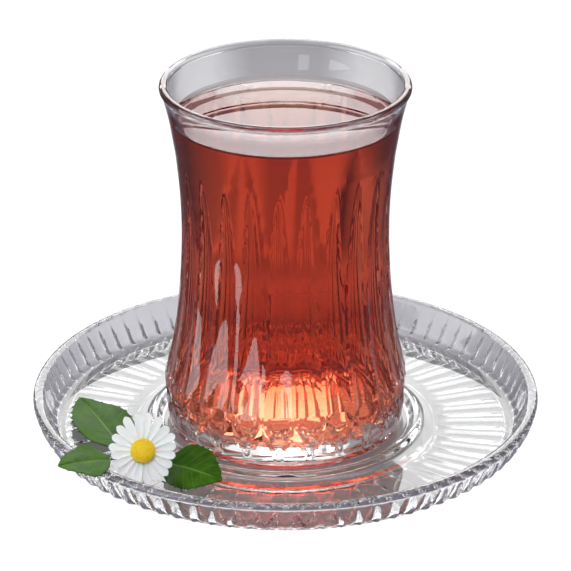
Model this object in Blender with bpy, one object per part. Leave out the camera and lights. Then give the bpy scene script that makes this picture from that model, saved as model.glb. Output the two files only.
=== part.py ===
"""Turkish tea glass, full of tea, on its ribbed clear saucer, with a daisy and three leaves beside it.

Metres, +Z up. The saucer stands on z = 0, centred on the Z axis. The front is towards -Y.
"""

from math import atan2, cos, pi, radians, sin, sqrt

import bpy
from mathutils import Matrix, Vector

MM = 0.001
GAP = 0.3 * MM

# Saucer
SAUCER_RADIUS = 60 * MM
SAUCER_HEIGHT = 11 * MM
LIP_WIDTH = 2.6 * MM
LIP_HEIGHT = 2.2 * MM
LIP_ROUNDING = 0.9 * MM
LIP_TAPER = 0.2 * MM
WELL_TOP = 3.0 * MM
WELL_RADIUS = 53.9 * MM
WELL_FILLET_WIDTH = 1.7 * MM
WELL_FILLET_HEIGHT = 1.1 * MM
BODY_UNDERSIDE = 0.5 * MM
UNDERSIDE_EDGE_RADIUS = 54.4 * MM
UNDERSIDE_EDGE_HEIGHT = 2.0 * MM
FOOT_OUTER_RADIUS = 35.2 * MM
FOOT_INNER_RADIUS = 31.0 * MM
RIM_FLUTES = 84
RIM_FLUTE_DEPTH = 0.75 * MM
# The fluted wall from the top down, as (radius, height, share of the flutes' depth)
RIM_FLUTE_OUTLINE = [(59.3, 7.2, 0.45), (58.4, 5.2, 0.85), (57.25, 3.6, 1.0), (55.9, 2.75, 0.8)]
FLOOR_FLUTES = 42
FLOOR_FLUTE_DEPTH = 0.45 * MM
# Both ends of the radial flutes, as (radius, rise of the underside, share of the flutes' depth)
FLOOR_FLUTE_ENDS = [(52.6, 0.7, 1.0), (37.5, 0.2, 0.6)]
FOOT_CHAMFER = 0.5 * MM
SEAT_RING_RADIUS = 31.2 * MM
SEAT_RING_HALF_WIDTH = 1.85 * MM
SEAT_RING_HEIGHT = 1.75 * MM

# Glass
SECTORS = 24
NODE_ANGLE = radians(-11)
FLUTE_HALF_ANGLE = radians(5)
FLUTE_DEPTH = 0.45 * MM
FLUTE_TOP = 71 * MM
FLUTE_FULL = 42 * MM
GLASS_BASE = WELL_TOP + GAP
FOOT_RADIUS = 27.4 * MM
FOOT_RING_INNER = 24.5 * MM
PUNT_DEPTH = 0.7 * MM
BEAD_RADIUS = 1.0 * MM
BEAD_CENTRE = (28.0 * MM, 87.85 * MM)
STAR_HEIGHT = 15.2 * MM
LOWER_STAR_HEIGHT = 7.0 * MM
STAR_RADIUS = 28.6 * MM
LOWER_STAR_RADIUS = 28.15 * MM
FACET_DEPTH = 0.5 * MM
SWAG_RISE = 1.5 * MM
SWAG_DROOP = 1.2 * MM
SWAG_THICKNESS = 0.3 * MM
SWAG_BULGE = 0.05 * MM
UPPER_FACET_SHARE = 0.42
LOWER_FACET_SHARE = 0.62
LOWER_FACET_TAPER = 0.2 * MM
FOOT_EDGE_HEIGHT = 4.3 * MM
FOOT_EDGE_WIDTH = 0.5 * MM
FOOT_SCALLOP = 0.4 * MM
FOOT_CORNER = 0.2 * MM
PUNT_SLOPE = 0.8 * MM

# Outline of the glass above the diamond band, as (radius, height), from the top down
OUTER_OUTLINE = [
    (27.7, 84.0), (26.8, 80.0), (25.8, 74.0), (25.35, 71.0), (24.5, 62.0),
    (24.2, 52.0), (24.6, 42.0), (25.4, 33.0), (26.6, 25.0), (28.0, 18.8),
]
# Inside of the glass from the top down, ending on the dome that its thick floor rises to
INNER_OUTLINE = [
    (26.3, 84.5), (25.2, 80.3), (23.9, 73.0), (22.7, 63.0), (22.2, 52.0),
    (22.6, 40.0), (23.6, 29.0), (25.1, 13.0), (24.3, 8.4), (21.8, 6.7), (19.0, 7.2), (16.0, 9.2),
    (10.0, 11.9),
]
TEA_LEVEL = 80.0 * MM
TEA_SURFACE_RADIUS = 25.12 * MM - GAP

# Daisy
DAISY_CENTRE = (-32.4 * MM, -38.5 * MM, 13.65 * MM)
DAISY_FACING_UP = radians(36)
PETALS = 20
COLUMNS_PER_PETAL = 4
PETAL_REACH = 7.5 * MM
PETAL_REACH_UP = 0.45 * MM
PETAL_REACH_ALONG = 0.75 * MM
PETAL_NOTCH = 4.3 * MM
PETAL_ROOT = 3.4 * MM
PETAL_THICKNESS = 0.4 * MM
PETAL_LIFT = 0.5 * MM
PETAL_WAVE = 0.22 * MM
PETAL_WIDENING = 0.6
DISC_RADIUS = 2.95 * MM
DISC_HEIGHT = 1.7 * MM
DISC_COLUMNS = 24
CALYX_RADIUS = 2.2 * MM
CALYX_HEIGHT = 1.3 * MM
CALYX_COLUMNS = 16
STEM_RADIUS = 0.6 * MM
STEM_LENGTH = 14.8 * MM

# Leaves. Places in millimetres, roll in degrees towards the front.
# The blade is cupped by fold and bowed by arch, and phase shifts its waves.
LEAF_THICKNESS = 0.4 * MM
LEAF_WAVE_SHARE = 0.05
STALK_HALF_WIDTH = 0.3 * MM
LEAF_STEPS_LONG = 12
LEAF_STEPS_ACROSS = 4
LEAVES = {
    "leaf_back": {
        "stalk_end": (-37.6, -20.0, 4.0), "tip": (-49.6, 8.6, 3.8), "half_width": 6.9,
        "stalk_share": 0.04, "roll": 0.0, "fold": 0.10, "arch": 0.6, "phase": 0.4,
    },
    "leaf_left": {
        "stalk_end": (-34.0, -36.2, 10.9), "tip": (-51.5, -42.0, 11.9), "half_width": 7.2,
        "stalk_share": 0.34, "roll": 0.0, "fold": 0.03, "arch": 0.4, "phase": 1.7,
    },
    "leaf_right": {
        "stalk_end": (-28.6, -28.2, 5.7), "tip": (-14.6, -35.5, 4.8), "half_width": 6.7,
        "stalk_share": 0.06, "roll": 21.0, "fold": 0.10, "arch": 0.6, "phase": 3.1,
    },
}


def clear_scene():
    for obj in list(bpy.data.objects):
        bpy.data.objects.remove(obj, do_unlink=True)


def make_material(name, colour, roughness, transmission=0.0, ior=1.5):
    material = bpy.data.materials.new(name)
    material.use_nodes = True
    shader = material.node_tree.nodes["Principled BSDF"]
    shader.inputs["Base Color"].default_value = (*colour, 1.0)
    shader.inputs["Roughness"].default_value = roughness
    shader.inputs["Metallic"].default_value = 0.0
    shader.inputs["Transmission Weight"].default_value = transmission
    shader.inputs["IOR"].default_value = ior
    material.diffuse_color = (*colour, 1.0)
    return material


def make_object(name, points, faces, material, smooth_angle=None):
    mesh = bpy.data.meshes.new(name)
    mesh.from_pydata(points, [], faces)
    mesh.update()
    mesh.materials.append(material)
    if smooth_angle is not None:
        mesh.shade_smooth()
        mesh.set_sharp_from_angle(angle=smooth_angle)
    obj = bpy.data.objects.new(name, mesh)
    bpy.context.scene.collection.objects.link(obj)
    return obj


def at_angle(radius, angle, height):
    """A point at this angle from the front, positive towards +X."""
    return (radius * sin(angle), -radius * cos(angle), height)


def even_ring(radius, height, count, start=0.0):
    return [at_angle(radius, start + 2 * pi * k / count, height) for k in range(count)]


def stack_rings(rings, keep_diagonals=()):
    """Points and faces of a closed body through rings of points, with a flat cap on the first and last.

    The rings run round in the same sense. Neighbours have the same count, or one has twice the other's.
    keep_diagonals holds the strips whose quads are split by split_towards_ridges.
    """
    points = [point for ring in rings for point in ring]
    starts = [sum(len(ring) for ring in rings[:i]) for i in range(len(rings))]
    faces = [tuple(range(len(rings[0])))]
    for i in range(len(rings) - 1):
        upper, lower = len(rings[i]), len(rings[i + 1])
        a, b = starts[i], starts[i + 1]
        if upper == lower and i in keep_diagonals:
            faces += split_towards_ridges(a, b, upper, keep_diagonals[i])
        elif upper == lower:
            for k in range(upper):
                n = (k + 1) % upper
                faces.append((a + k, b + k, b + n, a + n))
        elif upper == 2 * lower:
            for k in range(lower):
                n = (k + 1) % lower
                left, middle, right = a + 2 * k, a + 2 * k + 1, a + (2 * k + 2) % upper
                faces += [(left, b + k, middle), (middle, b + k, b + n), (middle, b + n, right)]
        else:
            for k in range(upper):
                n = (k + 1) % upper
                left, middle, right = b + 2 * k, b + 2 * k + 1, b + (2 * k + 2) % lower
                faces += [(a + k, left, middle), (a + k, middle, a + n), (a + n, middle, right)]
    last = range(starts[-1], starts[-1] + len(rings[-1]))
    faces.append(tuple(reversed(last)))
    return points, faces


def split_towards_ridges(upper_start, lower_start, count, falling):
    """Triangles between two rings.

    falling says, for each column of a sector, if the split runs down to the right.
    """
    faces = []
    for k in range(count):
        n = (k + 1) % count
        a, b = upper_start + k, upper_start + n
        c, d = lower_start + k, lower_start + n
        if falling[k % len(falling)]:
            faces += [(a, c, d), (a, d, b)]
        else:
            faces += [(a, c, b), (b, c, d)]
    return faces


def saucer_rings():
    """Rings of the saucer, from the middle of its top out over the rim and back under it."""
    coarse = RIM_FLUTES
    rings = [even_ring(SEAT_RING_RADIUS - SEAT_RING_HALF_WIDTH, WELL_TOP, coarse)]
    for angle in (150, 110, 70, 30):
        across = SEAT_RING_RADIUS + SEAT_RING_HALF_WIDTH * cos(radians(angle))
        rings.append(even_ring(across, WELL_TOP + SEAT_RING_HEIGHT * sin(radians(angle)), coarse))
    rings.append(even_ring(SEAT_RING_RADIUS + SEAT_RING_HALF_WIDTH, WELL_TOP, coarse))
    rings.append(even_ring(WELL_RADIUS, WELL_TOP, coarse))
    inner_lip = SAUCER_RADIUS - LIP_WIDTH
    rings.append(even_ring(WELL_RADIUS + WELL_FILLET_WIDTH, WELL_TOP + WELL_FILLET_HEIGHT, coarse))
    rings.append(even_ring(inner_lip, SAUCER_HEIGHT - LIP_ROUNDING, coarse))
    rings.append(even_ring(SAUCER_RADIUS - LIP_WIDTH / 2, SAUCER_HEIGHT, coarse))
    rings.append(even_ring(SAUCER_RADIUS, SAUCER_HEIGHT - LIP_ROUNDING, 2 * coarse))
    rings += rim_flute_rings(2 * coarse)
    rings += underside_rings(2 * coarse)
    return rings


def rim_flute_rings(columns):
    """The outer wall: a plain lip, then flutes that deepen on the way down."""
    rings = [even_ring(SAUCER_RADIUS - LIP_TAPER, SAUCER_HEIGHT - LIP_HEIGHT, columns)]
    for radius, height, share in RIM_FLUTE_OUTLINE:
        ring = []
        for k in range(columns):
            cut = RIM_FLUTE_DEPTH * share if k % 2 else 0.0
            ring.append(at_angle(radius * MM - cut, 2 * pi * k / columns, height * MM))
        rings.append(ring)
    rings.append(even_ring(UNDERSIDE_EDGE_RADIUS, UNDERSIDE_EDGE_HEIGHT, columns))
    return rings


def underside_rings(columns):
    """The underside: shallow radial flutes, then the foot ring that the saucer stands on."""
    rings = []
    columns_per_flute = columns // FLOOR_FLUTES
    for radius, rise, share in FLOOR_FLUTE_ENDS:
        ring = []
        for k in range(columns):
            across = (k % columns_per_flute) / columns_per_flute
            cut = FLOOR_FLUTE_DEPTH * share * sin(pi * across)
            ring.append(at_angle(radius * MM, 2 * pi * k / columns, BODY_UNDERSIDE + rise * MM + cut))
        rings.append(ring)
    rings.append(even_ring(FOOT_OUTER_RADIUS + FOOT_CHAMFER, BODY_UNDERSIDE, columns // 2))
    rings.append(even_ring(FOOT_OUTER_RADIUS, 0.0, columns // 2))
    rings.append(even_ring(FOOT_INNER_RADIUS, 0.0, columns // 2))
    rings.append(even_ring(FOOT_INNER_RADIUS - FOOT_CHAMFER, BODY_UNDERSIDE, columns // 2))
    return rings


def sector_ring(radii, heights):
    """A ring of four columns for each sector: over a star, then at a flute's edge, middle and other edge."""
    sector = 2 * pi / SECTORS
    offsets = (0.0, sector / 2 - FLUTE_HALF_ANGLE, sector / 2, sector / 2 + FLUTE_HALF_ANGLE)
    return [
        at_angle(radii[i], NODE_ANGLE + s * sector + offsets[i], heights[i])
        for s in range(SECTORS)
        for i in range(4)
    ]


def plain_ring(radius, height):
    return sector_ring([radius] * 4, [height] * 4)


def half_ring(radius, height):
    return even_ring(radius, height, 2 * SECTORS, NODE_ANGLE)


def fluted_rings():
    """The outer wall from under the bead to the top of the diamond band."""
    rings = []
    for radius, height in OUTER_OUTLINE:
        share = (FLUTE_TOP - height * MM) / (FLUTE_TOP - FLUTE_FULL)
        cut = FLUTE_DEPTH * min(1.0, max(0.0, share))
        wall = radius * MM
        rings.append(sector_ring([wall, wall, wall - cut, wall], [height * MM] * 4))
    return rings


def diamond_rings():
    """The band of triangular facets between an upper and a lower row of stars, then the foot."""
    drop = STAR_HEIGHT - LOWER_STAR_HEIGHT
    flute_edge = (pi / SECTORS - FLUTE_HALF_ANGLE) / (pi / SECTORS)
    swag_top = sector_ring(
        [STAR_RADIUS, STAR_RADIUS, STAR_RADIUS - FLUTE_DEPTH, STAR_RADIUS],
        [STAR_HEIGHT + SWAG_THICKNESS + (SWAG_RISE - SWAG_THICKNESS) * i for i in (0.0, 0.42, 1.0, 0.42)],
    )
    swag = sector_ring(
        [STAR_RADIUS + SWAG_BULGE] * 4,
        [STAR_HEIGHT - SWAG_DROOP * i for i in (0.0, 0.42, 1.0, 0.42)],
    )
    middle = sector_ring(
        [STAR_RADIUS - FACET_DEPTH, STAR_RADIUS, STAR_RADIUS - FACET_DEPTH, STAR_RADIUS],
        [STAR_HEIGHT - drop * i for i in (LOWER_FACET_SHARE, flute_edge, UPPER_FACET_SHARE, flute_edge)],
    )
    lower = sector_ring(
        [LOWER_STAR_RADIUS - LOWER_FACET_TAPER * i for i in (1.0, 0.5, 0.0, 0.5)],
        [LOWER_STAR_HEIGHT] * 4,
    )
    foot = sector_ring(
        [FOOT_RADIUS + FOOT_EDGE_WIDTH - FOOT_SCALLOP * i for i in (0.0, 0.0, 1.0, 0.0)],
        [FOOT_EDGE_HEIGHT] * 4,
    )
    return [swag_top, swag, middle, lower, foot]


def bead_points(angles):
    return [
        (BEAD_CENTRE[0] + BEAD_RADIUS * cos(radians(a)), BEAD_CENTRE[1] + BEAD_RADIUS * sin(radians(a)))
        for a in angles
    ]


def glass_rings():
    """Rings of the glass, from the inside floor up over the bead and down the outside to the base."""
    rings = [half_ring(radius * MM, height * MM) for radius, height in reversed(INNER_OUTLINE)]
    rings += [half_ring(radius, height) for radius, height in bead_points((180, 120))]
    rings += [plain_ring(radius, height) for radius, height in bead_points((60, 0, -50))]
    rings += fluted_rings()
    first_diamond = len(rings)
    rings += diamond_rings()
    rings.append(plain_ring(FOOT_RADIUS - FOOT_CORNER, GLASS_BASE))
    rings.append(half_ring(FOOT_RING_INNER, GLASS_BASE))
    rings.append(half_ring(FOOT_RING_INNER - PUNT_SLOPE, GLASS_BASE + PUNT_DEPTH))
    splits = {
        first_diamond: (True, True, False, False),
        first_diamond + 1: (True, False, True, False),
        first_diamond + 2: (False, True, False, True),
        first_diamond + 3: (True, False, True, False),
    }
    return rings, splits


def tea_rings():
    """Rings of the tea, clear of the wall all round, from its level down to the glass's domed floor."""
    outline = [(radius * MM, height * MM) for radius, height in reversed(INNER_OUTLINE)]
    rings = []
    for i, (radius, height) in enumerate(outline):
        if height > TEA_LEVEL:
            break
        before = outline[i - 1] if i else (0.0, height)
        after = outline[i + 1]
        run, climb = after[0] - before[0], after[1] - before[1]
        length = sqrt(run * run + climb * climb)
        rings.append(half_ring(radius - GAP * climb / length, max(height + GAP * run / length, height)))
    rings.append(half_ring(TEA_SURFACE_RADIUS, TEA_LEVEL))
    return rings[::-1]


def build_saucer():
    clear_glass = make_material("saucer_glass", (0.93, 0.95, 0.97), 0.04, transmission=1.0)
    points, faces = stack_rings(saucer_rings())
    return make_object("saucer", points, faces, clear_glass, radians(25))


def build_glass():
    clear_glass = make_material("tea_glass", (0.95, 0.97, 0.98), 0.03, transmission=1.0)
    rings, splits = glass_rings()
    points, faces = stack_rings(rings, splits)
    return make_object("glass", points, faces, clear_glass, radians(20))


def build_tea():
    tea = make_material("tea", (0.62, 0.09, 0.05), 0.02, transmission=0.6, ior=1.33)
    points, faces = stack_rings(tea_rings())
    return make_object("tea", points, faces, tea, radians(30))


def petal_outline(column):
    """How far the corolla reaches at this column: a notch, a shoulder, a rounded tip and a shoulder."""
    petal, place = divmod(column, COLUMNS_PER_PETAL)
    angle = 2 * pi * (petal + 0.5) / PETALS
    reach = PETAL_REACH + PETAL_REACH_UP * sin(angle) + PETAL_REACH_ALONG * sin(angle) ** 2
    reach *= 1.0 + 0.03 * sin(2.3 * petal)
    return (PETAL_NOTCH, 0.94 * reach, reach, 0.94 * reach)[place]


def build_petals(anchor):
    """The ring of petals as one thin cupped body, with notches between the petals."""
    columns = PETALS * COLUMNS_PER_PETAL
    top, bottom = [], []
    for share in (0.0, 0.55, 1.0):
        middle = []
        for k in range(columns):
            petal, place = divmod(k, COLUMNS_PER_PETAL)
            radius = PETAL_ROOT + share * (petal_outline(k) - PETAL_ROOT)
            spread = 2 * pi * k / columns
            height = PETAL_LIFT * sin(pi * 0.8 * share)
            if place:
                spread += PETAL_WIDENING * share * (2 * pi / columns) * (place - COLUMNS_PER_PETAL / 2)
                height += PETAL_WAVE * sin(2.9 * petal) * share
            middle.append(Vector((radius * cos(spread), radius * sin(spread), height)))
        half_thickness = Vector((0, 0, PETAL_THICKNESS / 2))
        top.append([point + half_thickness for point in middle])
        bottom.append([point - half_thickness for point in middle])
    points, faces = stack_rings(top + bottom[::-1])
    white = make_material("daisy_white", (0.93, 0.94, 0.90), 0.55)
    obj = make_object("daisy_petals", points, faces, white, radians(40))
    obj.parent = anchor
    return obj


def turned_body(name, outline, columns, material):
    """A body turned about the local Z axis through (radius, height) points from the top down."""
    rings = [
        [(r * cos(2 * pi * k / columns), r * sin(2 * pi * k / columns), h) for k in range(columns)]
        for r, h in outline
    ]
    points, faces = stack_rings(rings)
    return make_object(name, points, faces, material, radians(50))


def build_disc(anchor):
    """The yellow domed disc in the middle of the daisy."""
    yellow = make_material("daisy_yellow", (0.93, 0.68, 0.02), 0.6)
    floor = PETAL_THICKNESS / 2 + GAP
    outline = [
        (DISC_RADIUS * cos(radians(a)), floor + DISC_HEIGHT * (0.3 + 0.7 * sin(radians(a))))
        for a in (65, 35)
    ]
    outline += [(DISC_RADIUS, floor + 0.3 * DISC_HEIGHT), (0.88 * DISC_RADIUS, floor)]
    obj = turned_body("daisy_disc", outline, DISC_COLUMNS, yellow)
    obj.parent = anchor
    return obj


def build_calyx(anchor):
    """The green cup behind the petals, with its cut stalk."""
    green = make_material("daisy_green", (0.10, 0.28, 0.05), 0.6)
    ceiling = -PETAL_THICKNESS / 2 - GAP
    outline = [
        (CALYX_RADIUS, ceiling),
        (0.8 * CALYX_RADIUS, ceiling - 0.7 * CALYX_HEIGHT),
        (STEM_RADIUS, ceiling - CALYX_HEIGHT),
        (STEM_RADIUS, ceiling - CALYX_HEIGHT - STEM_LENGTH),
    ]
    obj = turned_body("daisy_calyx", outline, CALYX_COLUMNS, green)
    obj.parent = anchor
    return obj


def leaf_half_width(share, widest, stalk_share):
    """Half the width at this share of the length: a stalk, then a blade that tapers to a drawn-out tip."""
    along_blade = (share - stalk_share) / (1 - stalk_share)
    swell = sin(pi * along_blade**0.75) ** 0.7 if 0.0 < along_blade < 1.0 else 0.0
    return max(STALK_HALF_WIDTH, widest * swell)


def build_leaf(name, green, stalk_end, tip, half_width, stalk_share, roll, fold, arch, phase):
    """A thin wavy leaf folded a little along its midrib, both faces split into triangles alike."""
    start = Vector(stalk_end) * MM
    along = Vector(tip) * MM - start
    length = along.length
    rows = []
    for i in range(LEAF_STEPS_LONG + 1):
        share = i / LEAF_STEPS_LONG
        width = leaf_half_width(share, half_width * MM, stalk_share)
        row = []
        for j in range(LEAF_STEPS_ACROSS + 1):
            side = 2 * j / LEAF_STEPS_ACROSS - 1
            bow = arch * MM * sin(pi * share)
            wave = LEAF_WAVE_SHARE * width * side * side * sin(2 * pi * 2.2 * share + phase + side)
            row.append(Vector((length * share, side * width, fold * abs(side) * width + bow + wave)))
        rows.append(row)
    points = [point for row in rows for point in row]
    under = Vector((0, 0, -LEAF_THICKNESS))
    count = len(points)
    points += [point + under for point in points]
    across = LEAF_STEPS_ACROSS + 1
    faces = []
    for i in range(LEAF_STEPS_LONG):
        for j in range(LEAF_STEPS_ACROSS):
            a, b = i * across + j, i * across + j + 1
            c, d = a + across, b + across
            faces += [(a, c, d), (a, d, b)]
            faces += [(count + a, count + d, count + c), (count + a, count + b, count + d)]
    border = list(range(across))
    border += [i * across + across - 1 for i in range(1, LEAF_STEPS_LONG + 1)]
    border += [LEAF_STEPS_LONG * across + j for j in range(across - 2, -1, -1)]
    border += [i * across for i in range(LEAF_STEPS_LONG - 1, 0, -1)]
    for i, a in enumerate(border):
        b = border[(i + 1) % len(border)]
        faces += [(a, b, count + b), (a, count + b, count + a)]
    obj = make_object(name, points, faces, green, radians(60))
    heading = atan2(along.y, along.x)
    pitch = -atan2(along.z, sqrt(along.x**2 + along.y**2))
    turn = Matrix.Rotation(heading, 4, "Z") @ Matrix.Rotation(pitch, 4, "Y")
    obj.matrix_world = Matrix.Translation(start) @ turn @ Matrix.Rotation(radians(roll), 4, "X")
    return obj


def build_daisy():
    anchor = bpy.data.objects.new("daisy", None)
    bpy.context.scene.collection.objects.link(anchor)
    anchor.location = DAISY_CENTRE
    anchor.rotation_euler = (pi / 2 - DAISY_FACING_UP, 0.0, 0.0)
    build_petals(anchor)
    build_disc(anchor)
    build_calyx(anchor)


def main():
    clear_scene()
    build_saucer()
    build_glass()
    build_tea()
    build_daisy()
    leaf_green = make_material("leaf_green", (0.07, 0.24, 0.03), 0.5)
    for name, values in LEAVES.items():
        build_leaf(name, leaf_green, **values)


main()
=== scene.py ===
"""Looks of a Turkish tea glass full of tea, on its ribbed clear saucer, with a daisy and three leaves.

Metres, +Z up. The saucer stands on z = 0 round the Z axis, and the front is towards -Y.
"""

from math import atan2, cos, hypot, pi, radians, sin, sqrt
from random import Random

import bmesh
import bpy
from mathutils import Matrix, Vector


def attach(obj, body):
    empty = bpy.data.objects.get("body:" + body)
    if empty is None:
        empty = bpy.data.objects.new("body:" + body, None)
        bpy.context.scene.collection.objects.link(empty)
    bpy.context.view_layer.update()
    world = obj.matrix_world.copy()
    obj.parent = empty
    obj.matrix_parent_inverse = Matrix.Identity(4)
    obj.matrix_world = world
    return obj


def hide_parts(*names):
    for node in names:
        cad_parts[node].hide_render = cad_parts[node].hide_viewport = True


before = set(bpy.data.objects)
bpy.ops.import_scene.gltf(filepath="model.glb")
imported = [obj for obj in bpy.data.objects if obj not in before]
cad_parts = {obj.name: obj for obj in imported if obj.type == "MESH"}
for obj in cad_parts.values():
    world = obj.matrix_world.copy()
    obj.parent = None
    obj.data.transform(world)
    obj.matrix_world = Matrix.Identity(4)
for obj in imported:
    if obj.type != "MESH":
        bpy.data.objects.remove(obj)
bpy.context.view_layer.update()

MM = 0.001

# Camera
CAMERA_PITCH = radians(24.6)
CAMERA_DISTANCE = 767 * MM
AIM_HEIGHT = 37.47 * MM
LENS_MM = 205.8
SENSOR_MM = 36

# Glass: outlines as (radius, height) in millimetres, from the top down
GLASS_SECTORS = 24
GLASS_COLUMNS = 16
GLASS_NODE_ANGLE = radians(-11)
OUTER_OUTLINE = [
    (27.7, 84.0), (26.8, 80.0), (25.8, 74.0), (25.35, 71.0), (24.5, 62.0),
    (24.2, 52.0), (24.6, 42.0), (25.4, 33.0), (26.6, 25.0), (28.0, 18.8), (28.5, 16.6),
]
WALL_AT_TEA = (25.2, 80.3)
INNER_OUTLINE = [
    (26.3, 84.5), WALL_AT_TEA, (23.9, 73.0), (22.7, 63.0), (22.2, 52.0),
    (22.6, 40.0), (23.6, 29.0), (25.1, 13.0), (24.3, 8.4), (21.8, 6.7), (19.0, 7.2), (16.0, 9.2),
    (10.0, 11.9), (0.0, 12.4),
]
BEAD_RADIUS = 1.0
BEAD_CENTRE = (28.0, 87.7)
BEAD_ARC = (190, -60)
GLASS_FLUTE_HALF_ANGLE = radians(6.6)
GLASS_FLUTE_DEPTH = 0.7
GLASS_FLUTE_TOP = 71.5
GLASS_FLUTE_FULL = 38.0
GLASS_FLUTE_WIDENS = 0.7
GLASS_FLUTE_DEEPENS = 0.75
SWAG_RISE = 1.3
SWAG_DROOP = 1.2
SWAG_ROWS = 4
SWAG_STEP = 0.2
SWAG_SINK = 0.8 * GLASS_FLUTE_DEPTH
STAR_HEIGHT = 15.2
STAR_RADIUS = 28.6
LOWER_STAR_HEIGHT = 7.0
LOWER_STAR_RADIUS = 28.15
FACET_DEPTH = 0.85
FACET_ROWS = 8
FACET_SLOPE = 1.7
FACET_FULL_AT = 0.63
FOOT_OUTLINE = [(27.95, 5.0), (27.85, 4.1), (27.5, 3.45), (27.1, 3.3), (24.5, 3.3), (23.7, 4.0)]

# Tea, in millimetres
TEA_LEVEL = 80.0
TEA_INTO_WALL = 0.12
TEA_SIDE_PAST = 21
TEA_FLOOR_UNDER = 13
TEA_COLUMNS = 96
MENISCUS_RISE = 0.9
MENISCUS_WIDTH = 1.6
MENISCUS_STEPS = 8

# Saucer, in millimetres
SAUCER_SECTORS = 42
SAUCER_COLUMNS = 16
RIM_FLUTE_TOP = 10.0
RIM_FLUTE_FULL = 5.6
RIM_FLUTE_DEPTH = 0.85
RIM_FLUTE_SHARE = 0.92
FLOOR_FLUTE_DEPTH = 0.42
FLOOR_FLUTE_INNER_SHARE = 0.6
FLOOR_FLUTE_START = (37.5, 0.7)
FLOOR_FLUTE_END = (52.6, 1.2)
WELL_HEIGHT = 3.0
SEAT_RADIUS = 31.2
SEAT_HALF_WIDTH = 2.4
SEAT_RISE = 1.65
SEAT_STEPS = 6
LIP_OUTLINE = [(57.35, 9.9), (57.7, 10.6), (58.7, 11.0), (59.65, 10.7), (60.0, 9.9), (59.85, 9.1)]
WALL_OUTLINE = [LIP_OUTLINE[-1], (59.3, 7.2), (58.4, 5.2), (57.25, 3.6), (55.9, 2.75), (54.4, 2.0)]
FOOT_RING = [(36.0, 0.6), (35.55, 0.4), (35.3, 0.1), (35.0, 0.0), (31.2, 0.0), (30.9, 0.1), (30.6, 0.5)]

# Daisy: its centre in metres, other lengths in millimetres
DAISY_CENTRE = Vector((-32.4, -38.5, 13.65)) * MM
DAISY_FACING_UP = radians(36)
PETALS = 20
PETAL_ROWS = 24
PETAL_COLUMNS = 8
PETAL_ROOT = 2.5
PETAL_REACH = 7.5
PETAL_REACH_UP = 0.45
PETAL_REACH_ALONG = 0.75
PETAL_HALF_WIDTH = 0.98
PETAL_TIP_SHARE = 0.83
PETAL_ROOT_WIDTH = 0.36
PETAL_WIDE_FROM = 0.75
PETAL_TROUGH = 0.16
PETAL_GROOVE = 0.07
PETAL_GROOVE_COLUMNS = (3, 5)
PETAL_FLAT_FROM = 0.7
PETAL_THICKNESS = 0.22
PETAL_STACK = 0.03
PETAL_WIDTH_DRAW = 0.05
PETAL_LIFT = -4.0
PETAL_LIFT_DRAW = 3.0
PETAL_ROLL_DRAW = 9.0
PETAL_SWING_DRAW = 1.5
DISC_RADIUS = 2.8
DISC_FLOOR = 0.6
DISC_DOME = 1.3
DISC_DEPTH = 0.2
FLORETS = 260
FLORET_RADIUS = 0.17

# Leaves: places in millimetres
LEAVES = {
    "leaf_back": {
        "stalk_end": (-37.6, -20.0, 4.0), "tip": (-49.6, 8.6, 3.8), "half_width": 6.9,
        "stalk_share": 0.04, "roll": 0.0, "fold": 0.10, "arch": 0.6, "phase": 0.4,
    },
    "leaf_left": {
        "stalk_end": (-34.0, -36.2, 10.9), "tip": (-51.5, -42.0, 11.9), "half_width": 7.2,
        "stalk_share": 0.34, "roll": 0.0, "fold": 0.03, "arch": 0.4, "phase": 1.7,
    },
    "leaf_right": {
        "stalk_end": (-28.6, -28.2, 5.7), "tip": (-14.6, -35.5, 4.8), "half_width": 6.7,
        "stalk_share": 0.06, "roll": 21.0, "fold": 0.10, "arch": 0.6, "phase": 3.1,
    },
}
LEAF_ROWS = 56
LEAF_COLUMNS = 16
LEAF_THICKNESS = 0.3
LEAF_LEAST_WIDTH = 0.3
LEAF_WAVE = 0.05
LEAF_WAVES = 2.2
LEAF_RIB = 0.22
LEAF_PUFF = 0.10
LEAF_VEINS = 7.5
LEAF_TOOTH_ROWS = 5
LEAF_TOOTH_OUT = 1.07
LEAF_TOOTH_ALONG = 0.25

# Studio, in metres
FLOOR_RADIUS = 3.0
FLOOR_DROP = 0.05 * MM
FLOOR_GLOW = 1.0
SHADE_GLOW = 0.14
SHADE_CENTRE = (0.0, 6 * MM, 0.0)
SHADE_EDGE = (53 * MM, 56.5 * MM)
CARD_RADIUS = 2.5
CARD_HOLE = 55 * MM
CARD_REACH = 240 * MM

# Card: painted light and shade for the glass and the tea to show. Greys by the share of the way round from
# behind to the front, pale behind and darker at the sides and in front, then the white strips of painted
# light behind as (degrees aside, strength), which begin at shares of the reach, where the darker grey of
# painted shade begins too
CARD_LIGHT_AND_SHADE_GREYS = [
    (0.22, (0.74, 0.74, 0.77)), (0.42, (0.32, 0.32, 0.36)),
    (0.55, (0.32, 0.32, 0.36)), (0.7, (0.26, 0.24, 0.30)),
]
CARD_STRIP_LIGHT_WHITE = (0.88, 0.88, 0.88)
CARD_LIGHT_STRIPS = [(3.0, 0.5), (6.5, 1.0), (11.0, 1.0), (16.0, 0.5), (34.0, 0.0)]
# Painted shade: the dark grey of the card further out, all round
CARD_FAR = (0.13, 0.11, 0.14)
CARD_FAR_FROM = (0.36, 0.46)

# Room: its greys on the camera's side, at the sides and behind
ROOM_GREYS = [(0.0, (0.14, 0.13, 0.16)), (0.5, (0.22, 0.21, 0.24)), (1.0, (0.36, 0.36, 0.38))]
ROOM_SPAN = (-0.9, 0.7)

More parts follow.
